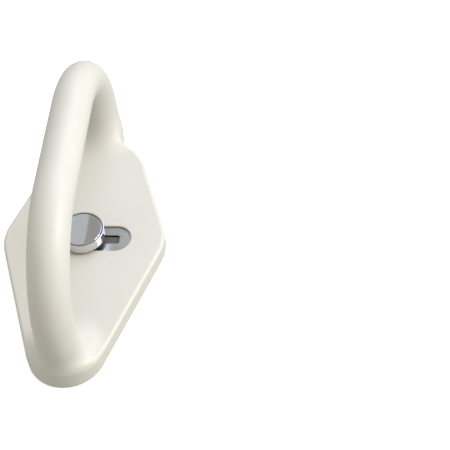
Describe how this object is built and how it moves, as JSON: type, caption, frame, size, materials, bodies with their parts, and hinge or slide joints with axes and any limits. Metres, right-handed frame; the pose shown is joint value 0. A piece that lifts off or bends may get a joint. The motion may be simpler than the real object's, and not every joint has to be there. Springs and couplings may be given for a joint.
{
  "type": "suction grab bar",
  "caption": "Arched grab handle on a diamond-shaped base that a sliding knob locks to a smooth wall by suction.",
  "frame": {"origin": "centre of the bounding box at the suction face, where the wall is", "axes": "+Z points away from the wall, +Y runs along the grip, and +X along the knob's slot"},
  "size_m": [0.1056, 0.219, 0.1075],
  "materials": {
    "shell": "smooth cream moulded plastic with a satin gloss",
    "back": "matte moulded plastic",
    "track": "fine satin steel pressing",
    "chrome": "bright chrome plating",
    "cap": "polished chrome disc",
    "black": "black acetal",
    "acetal": "white acetal",
    "dark_acetal": "dark grey acetal",
    "rubber": "smooth soft grey rubber",
    "foam": "fine closed-cell anti-slip foam",
    "screw": "zinc-plated steel",
    "steel": "turned stainless steel"
  },
  "bodies": {
    "base": {"front_shell": "shell", "grip": "shell", "back_plate": "back", "track_plate": "track", "suction_pad": "rubber", "end_pad_far": "foam", "end_pad_near": "foam", "guide_rail_far": "acetal", "guide_rail_near": "acetal", "shell_screw_1": "screw", "shell_screw_2": "screw", "shell_screw_3": "screw", "shell_screw_4": "screw", "shell_screw_5": "screw", "shell_screw_6": "screw", "track_screw_1": "screw", "track_screw_2": "screw", "track_screw_3": "screw", "track_screw_4": "screw"},
    "slider": {"knob_body": "chrome", "knob_cap": "cap", "glide_washer": "black", "cam_carriage": "dark_acetal", "knob_screw": "screw"},
    "stem": {"lift_block": "acetal", "pressure_disc": "steel", "lift_screw": "screw"}
  },
  "joints": [
    {"name": "knob_slide", "type": "slide", "parent": "base", "child": "slider", "axis": [1, 0, 0], "range_m": [-0.018, 0.018]},
    {"name": "stem_lift", "type": "slide", "parent": "base", "child": "stem", "axis": [0, 0, 1], "range_m": [-0.001, 0.001], "deforming": ["suction_pad"]}
  ],
  "couplings": [
    {"joint": "stem_lift", "follows": "knob_slide", "ratio": 0.05555}
  ]
}
